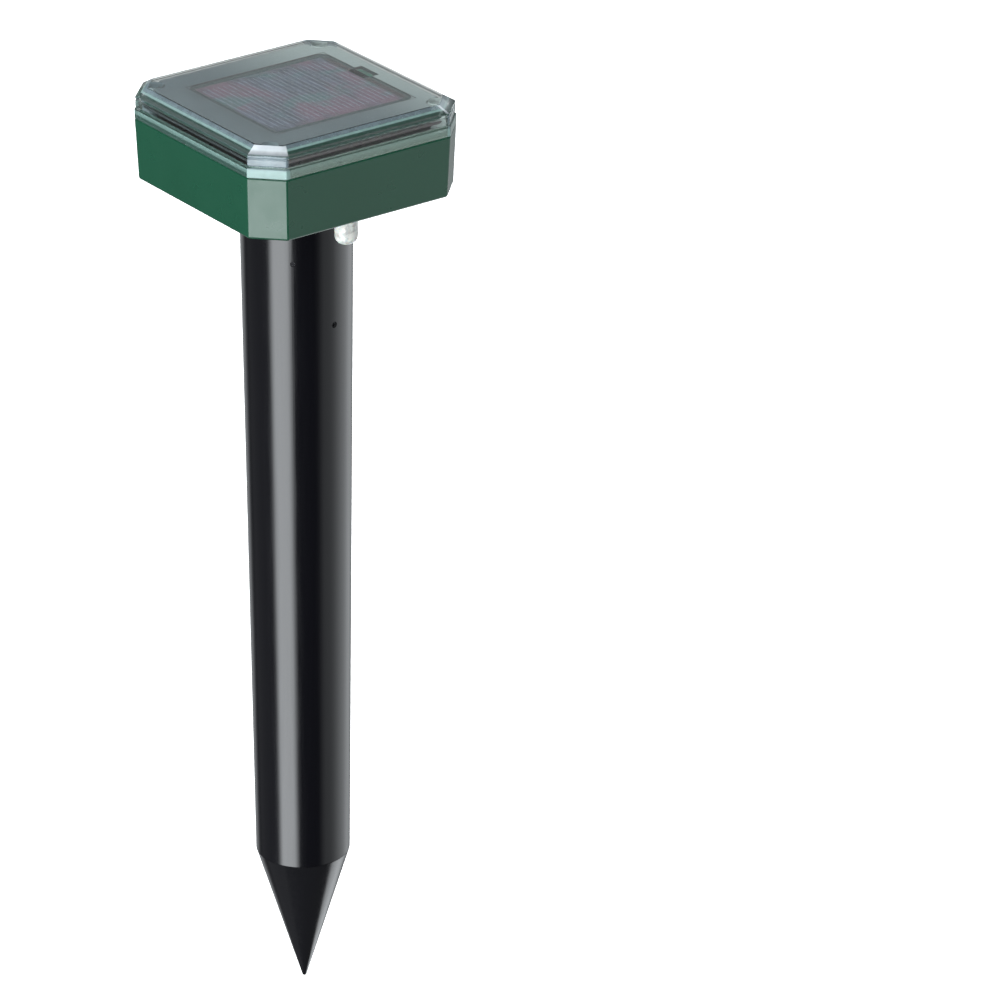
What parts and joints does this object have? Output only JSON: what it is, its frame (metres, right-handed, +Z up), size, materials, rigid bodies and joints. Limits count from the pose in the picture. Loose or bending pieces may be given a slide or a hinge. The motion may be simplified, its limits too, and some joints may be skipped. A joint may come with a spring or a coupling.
{
  "type": "ultrasonic pest repeller",
  "caption": "Square head with a solar panel under a clear cover and a push button beneath, on a tapered black tube with a pointed end that is pushed into soil.",
  "frame": {"origin": "on the axis of the stake, at soil level, 25 mm below the underside of the head", "axes": "+Z up along the stake towards the solar panel; -Y is the front, the side of the push button; +X completes a right-handed frame"},
  "size_m": [0.1, 0.1, 0.4018],
  "materials": {
    "green_plastic": "moulded green plastic, light sheen",
    "clear_plastic": "clear polished plastic",
    "tray_plastic": "dark grey-green moulded plastic",
    "black_plastic": "glossy black plastic",
    "black_rubber": "soft black rubber",
    "white_rubber": "translucent white silicone rubber",
    "grey_rubber": "soft grey rubber",
    "nylon": "natural nylon",
    "dark_plastic": "black engineering plastic",
    "solar_cell": "silicon cell with printed silver lines",
    "panel_resin": "clear casting resin",
    "panel_board": "dark laminate",
    "board_green": "green lacquered laminate",
    "component_black": "moulded epoxy",
    "component_sleeve": "aluminium can in a printed sleeve",
    "component_tan": "lacquered film",
    "ferrite": "grey-black ferrite",
    "battery_sleeve": "plain plastic sleeve over a steel can",
    "nickel": "nickel strip",
    "steel": "zinc plated steel",
    "dark_steel": "blackened steel",
    "copper": "enamelled copper winding",
    "wire_red": "red insulated wire",
    "wire_black": "black insulated wire",
    "wire_white": "pale insulated wire",
    "cone_paper": "treated paper cone"
  },
  "bodies": {
    "housing": {"clear_cover": "clear_plastic", "head_body": "green_plastic", "cover_seal": "grey_rubber", "panel_tray": "tray_plastic", "panel_backing": "panel_board", "panel_resin": "panel_resin", "solar_cell_1": "solar_cell", "solar_cell_2": "solar_cell", "solar_cell_3": "solar_cell", "solar_cell_4": "solar_cell", "case_screw_1": "steel", "case_screw_2": "steel", "case_screw_3": "steel", "case_screw_4": "steel", "circuit_board": "board_green", "controller_chip": "component_black", "capacitor_large": "component_sleeve", "capacitor_small": "component_sleeve", "boost_inductor": "ferrite", "drive_transistor": "component_black", "charge_diode": "component_black", "resistor_1": "component_tan", "resistor_2": "component_tan", "board_screw_1": "steel", "board_screw_2": "steel", "battery_cradle": "dark_plastic", "battery_cell_1": "battery_sleeve", "battery_cell_2": "battery_sleeve", "battery_cell_3": "battery_sleeve", "cell_link_1": "nickel", "cell_link_2": "nickel", "panel_lead_positive": "wire_red", "panel_lead_negative": "wire_black", "battery_lead_positive": "wire_red", "battery_lead_negative": "wire_black", "speaker_lead_1": "wire_black", "speaker_lead_2": "wire_red", "switch_lead_1": "wire_white", "switch_lead_2": "wire_white", "switch_body": "dark_plastic", "switch_nut": "nylon", "switch_spring": "steel", "stake_tube": "black_plastic", "spike_tip": "black_plastic", "neck_o_ring": "black_rubber", "neck_screw_1": "dark_steel", "neck_screw_2": "dark_steel", "speaker_screw_1": "dark_steel", "speaker_screw_2": "dark_steel", "speaker_frame": "dark_plastic", "speaker_magnet": "ferrite", "speaker_yoke": "steel", "speaker_top_plate": "steel", "speaker_surround": "black_rubber"},
    "push_button": {"button_cap": "white_rubber", "switch_plunger": "nylon"},
    "speaker_cone": {"speaker_diaphragm": "cone_paper", "voice_coil": "copper"}
  },
  "joints": [
    {"name": "button_press", "type": "slide", "parent": "housing", "child": "push_button", "axis": [0, 0, 1], "range_m": [0, 0.0025], "stiffness_N_per_m": 400, "springref_m": -0.001, "deforming": ["switch_spring"]},
    {"name": "diaphragm_stroke", "type": "slide", "parent": "housing", "child": "speaker_cone", "axis": [0, 0, 1], "range_m": [-0.0005, 0.0005], "stiffness_N_per_m": 1200}
  ]
}
